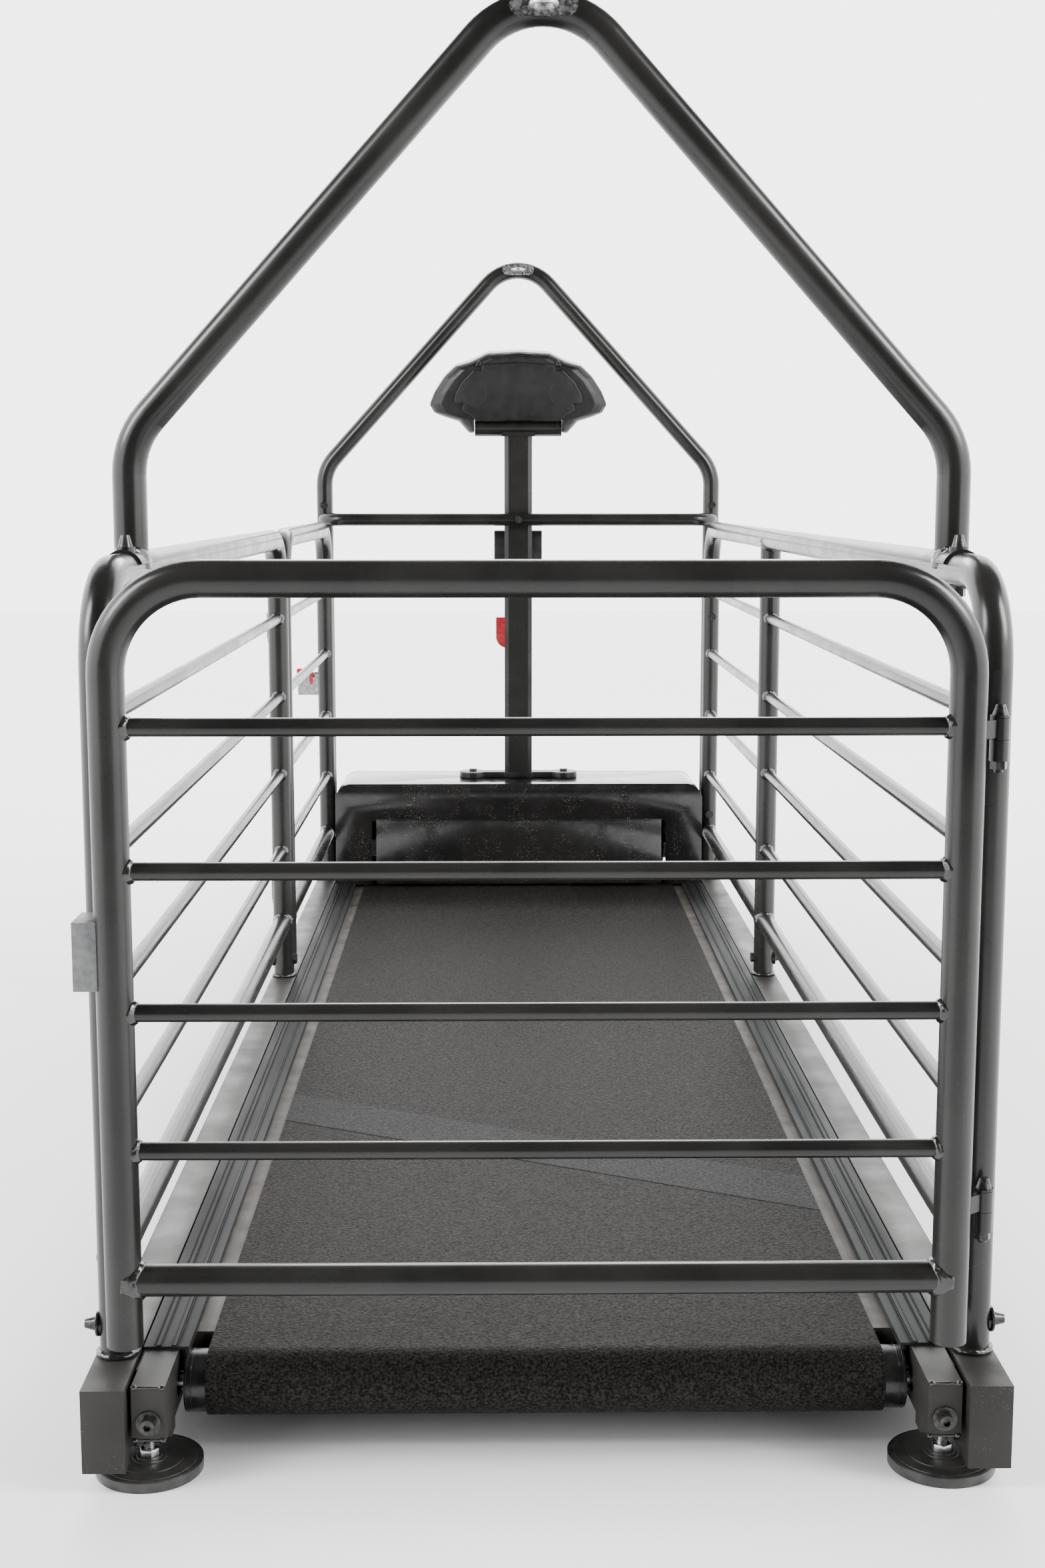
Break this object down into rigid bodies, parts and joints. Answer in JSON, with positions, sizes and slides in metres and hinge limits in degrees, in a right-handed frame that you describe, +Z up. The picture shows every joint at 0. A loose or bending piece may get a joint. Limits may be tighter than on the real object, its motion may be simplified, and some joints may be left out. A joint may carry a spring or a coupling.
{
  "type": "dog treadmill",
  "caption": "Long electric dog treadmill with a railed tube cage, hinged end gate and side door, two leash hoops, a motor hood and a tilting console on a mast.",
  "frame": {"origin": "on the floor, midway between the four levelling feet", "axes": "+X to the right seen from the gate end, +Y along the belt from the gate to the motor, +Z up"},
  "size_m": [0.8639, 2.57, 1.3169],
  "materials": {
    "black_tube": "glossy black powder coat over steel tube",
    "black_frame": "satin black painted steel",
    "hood_black": "glossy black moulded plastic",
    "black_plastic": "black moulded plastic",
    "belt": "black textured running belt",
    "foot_rubber": "black rubber",
    "foot_rail": "dark grey ribbed strip",
    "board": "fibre board with a brown grey film",
    "steel": "bright steel",
    "zinc": "zinc plated steel",
    "cast": "grey cast metal",
    "motor": "black painted motor case",
    "alu": "die cast aluminium",
    "display": "smoked display window",
    "grille": "hexagon mesh grille",
    "red": "red plastic",
    "button": "grey plastic",
    "grey_plastic": "grey plastic",
    "magnet": "ferrite magnet"
  },
  "bodies": {
    "base": {"left_side_channel": "black_frame", "right_side_channel": "black_frame", "main_frame": "black_frame", "deck_board": "board", "deck_cushions": "foot_rubber", "left_foot_rail": "foot_rail", "right_foot_rail": "foot_rail", "running_belt": "belt", "roller_axles": "zinc", "roller_bearings": "steel", "belt_tension_bolts": "zinc", "drive_motor": "motor", "motor_mount": "cast", "drive_belt": "belt", "motor_controller": "alu", "power_inlet": "black_plastic", "motor_hood": "hood_black", "belt_guard": "hood_black", "console_mast": "black_tube", "mast_base": "black_plastic", "handle_bow": "black_tube", "remote_cradle": "black_plastic", "console_hinge": "black_plastic", "right_panel_frame": "black_tube", "right_panel_rungs": "black_tube", "left_panel_frame": "black_tube", "left_panel_rungs": "black_tube", "near_hoop": "black_tube", "far_hoop": "black_tube", "leash_eyes": "zinc", "hoop_saddles": "black_tube", "frame_bolts": "zinc", "cap_nuts": "zinc", "hex_nuts": "zinc", "clamp_base": "zinc"},
    "gate": {"gate_frame": "black_tube", "gate_rungs": "black_tube", "gate_catch": "grey_plastic", "gate_magnet": "magnet"},
    "side_door": {"door_frame": "black_tube", "door_rungs": "black_tube"},
    "clamp_lever_arm": {"clamp_arm": "zinc"},
    "clamp_hand_lever": {"clamp_handle": "red"},
    "rear_roller_body": {"rear_roller": "steel"},
    "front_roller_body": {"front_roller": "steel", "roller_pulley": "cast"},
    "motor_spindle": {"motor_rotor": "cast"},
    "near_left_foot_body": {"near_left_foot": "foot_rubber"},
    "near_right_foot_body": {"near_right_foot": "foot_rubber"},
    "far_left_foot_body": {"far_left_foot": "foot_rubber"},
    "far_right_foot_body": {"far_right_foot": "foot_rubber"},
    "console": {"console_back_shell": "black_plastic", "console_speakers": "grille", "console_front_panel": "hood_black", "console_display": "display"},
    "start_stop": {"start_stop_button": "red"},
    "speed_up": {"speed_up_button": "button"},
    "speed_down": {"speed_down_button": "button"},
    "safety_key_body": {"safety_key": "red"},
    "stop": {"stop_paddle": "red"}
  },
  "joints": [
    {"name": "gate_hinge", "type": "hinge", "parent": "base", "child": "gate", "pos_m": [0.387, -1.2313, 0.447], "axis": [0, 0, 1], "range_deg": [0, 120]},
    {"name": "side_door_hinge", "type": "hinge", "parent": "base", "child": "side_door", "pos_m": [-0.399, 0.237, 0.447], "axis": [0, 0, 1], "range_deg": [0, 100]},
    {"name": "clamp_handle_hinge", "type": "hinge", "parent": "base", "child": "clamp_hand_lever", "pos_m": [-0.419, 1.099, 0.49], "axis": [1, 0, 0], "range_deg": [0, 90]},
    {"name": "clamp_arm_hinge", "type": "hinge", "parent": "base", "child": "clamp_lever_arm", "pos_m": [-0.408, 1.099, 0.476], "axis": [1, 0, 0], "range_deg": [0, 90]},
    {"name": "rear_roller_spin", "type": "hinge", "parent": "base", "child": "rear_roller_body", "pos_m": [0, -1.187, 0.061], "axis": [1, 0, 0], "continuous": true},
    {"name": "front_roller_spin", "type": "hinge", "parent": "base", "child": "front_roller_body", "pos_m": [0, 1.04, 0.061], "axis": [1, 0, 0], "continuous": true},
    {"name": "motor_spin", "type": "hinge", "parent": "base", "child": "motor_spindle", "pos_m": [0.185, 1.167, 0.15], "axis": [1, 0, 0], "continuous": true},
    {"name": "near_left_foot_adjust", "type": "slide", "parent": "base", "child": "near_left_foot_body", "axis": [0, 0, -1], "range_m": [0, 0.012]},
    {"name": "near_right_foot_adjust", "type": "slide", "parent": "base", "child": "near_right_foot_body", "axis": [0, 0, -1], "range_m": [0, 0.012]},
    {"name": "far_left_foot_adjust", "type": "slide", "parent": "base", "child": "far_left_foot_body", "axis": [0, 0, -1], "range_m": [0, 0.012]},
    {"name": "far_right_foot_adjust", "type": "slide", "parent": "base", "child": "far_right_foot_body", "axis": [0, 0, -1], "range_m": [0, 0.012]},
    {"name": "console_tilt", "type": "hinge", "parent": "base", "child": "console", "pos_m": [0, 1.089, 0.996], "axis": [1, 0, 0], "range_deg": [-12, 18]},
    {"name": "start_stop_press", "type": "slide", "parent": "console", "child": "start_stop", "axis": [0, -0.9781, -0.2079], "range_m": [0, 0.0015], "stiffness_N_per_m": 900},
    {"name": "speed_up_press", "type": "slide", "parent": "console", "child": "speed_up", "axis": [0, -0.9781, -0.2079], "range_m": [0, 0.0015], "stiffness_N_per_m": 900},
    {"name": "speed_down_press", "type": "slide", "parent": "console", "child": "speed_down", "axis": [0, -0.9781, -0.2079], "range_m": [0, 0.0015], "stiffness_N_per_m": 900},
    {"name": "safety_key_pull", "type": "slide", "parent": "console", "child": "safety_key_body", "axis": [0, 0.9781, 0.2079], "range_m": [0, 0.02]},
    {"name": "stop_press", "type": "slide", "parent": "base", "child": "stop", "axis": [0, -1, 0], "range_m": [0, 0.004], "stiffness_N_per_m": 1200}
  ],
  "couplings": [
    {"joint": "clamp_arm_hinge", "follows": "clamp_handle_hinge", "ratio": 1},
    {"joint": "front_roller_spin", "follows": "rear_roller_spin", "ratio": 1},
    {"joint": "motor_spin", "follows": "rear_roller_spin", "ratio": 2.5}
  ]
}
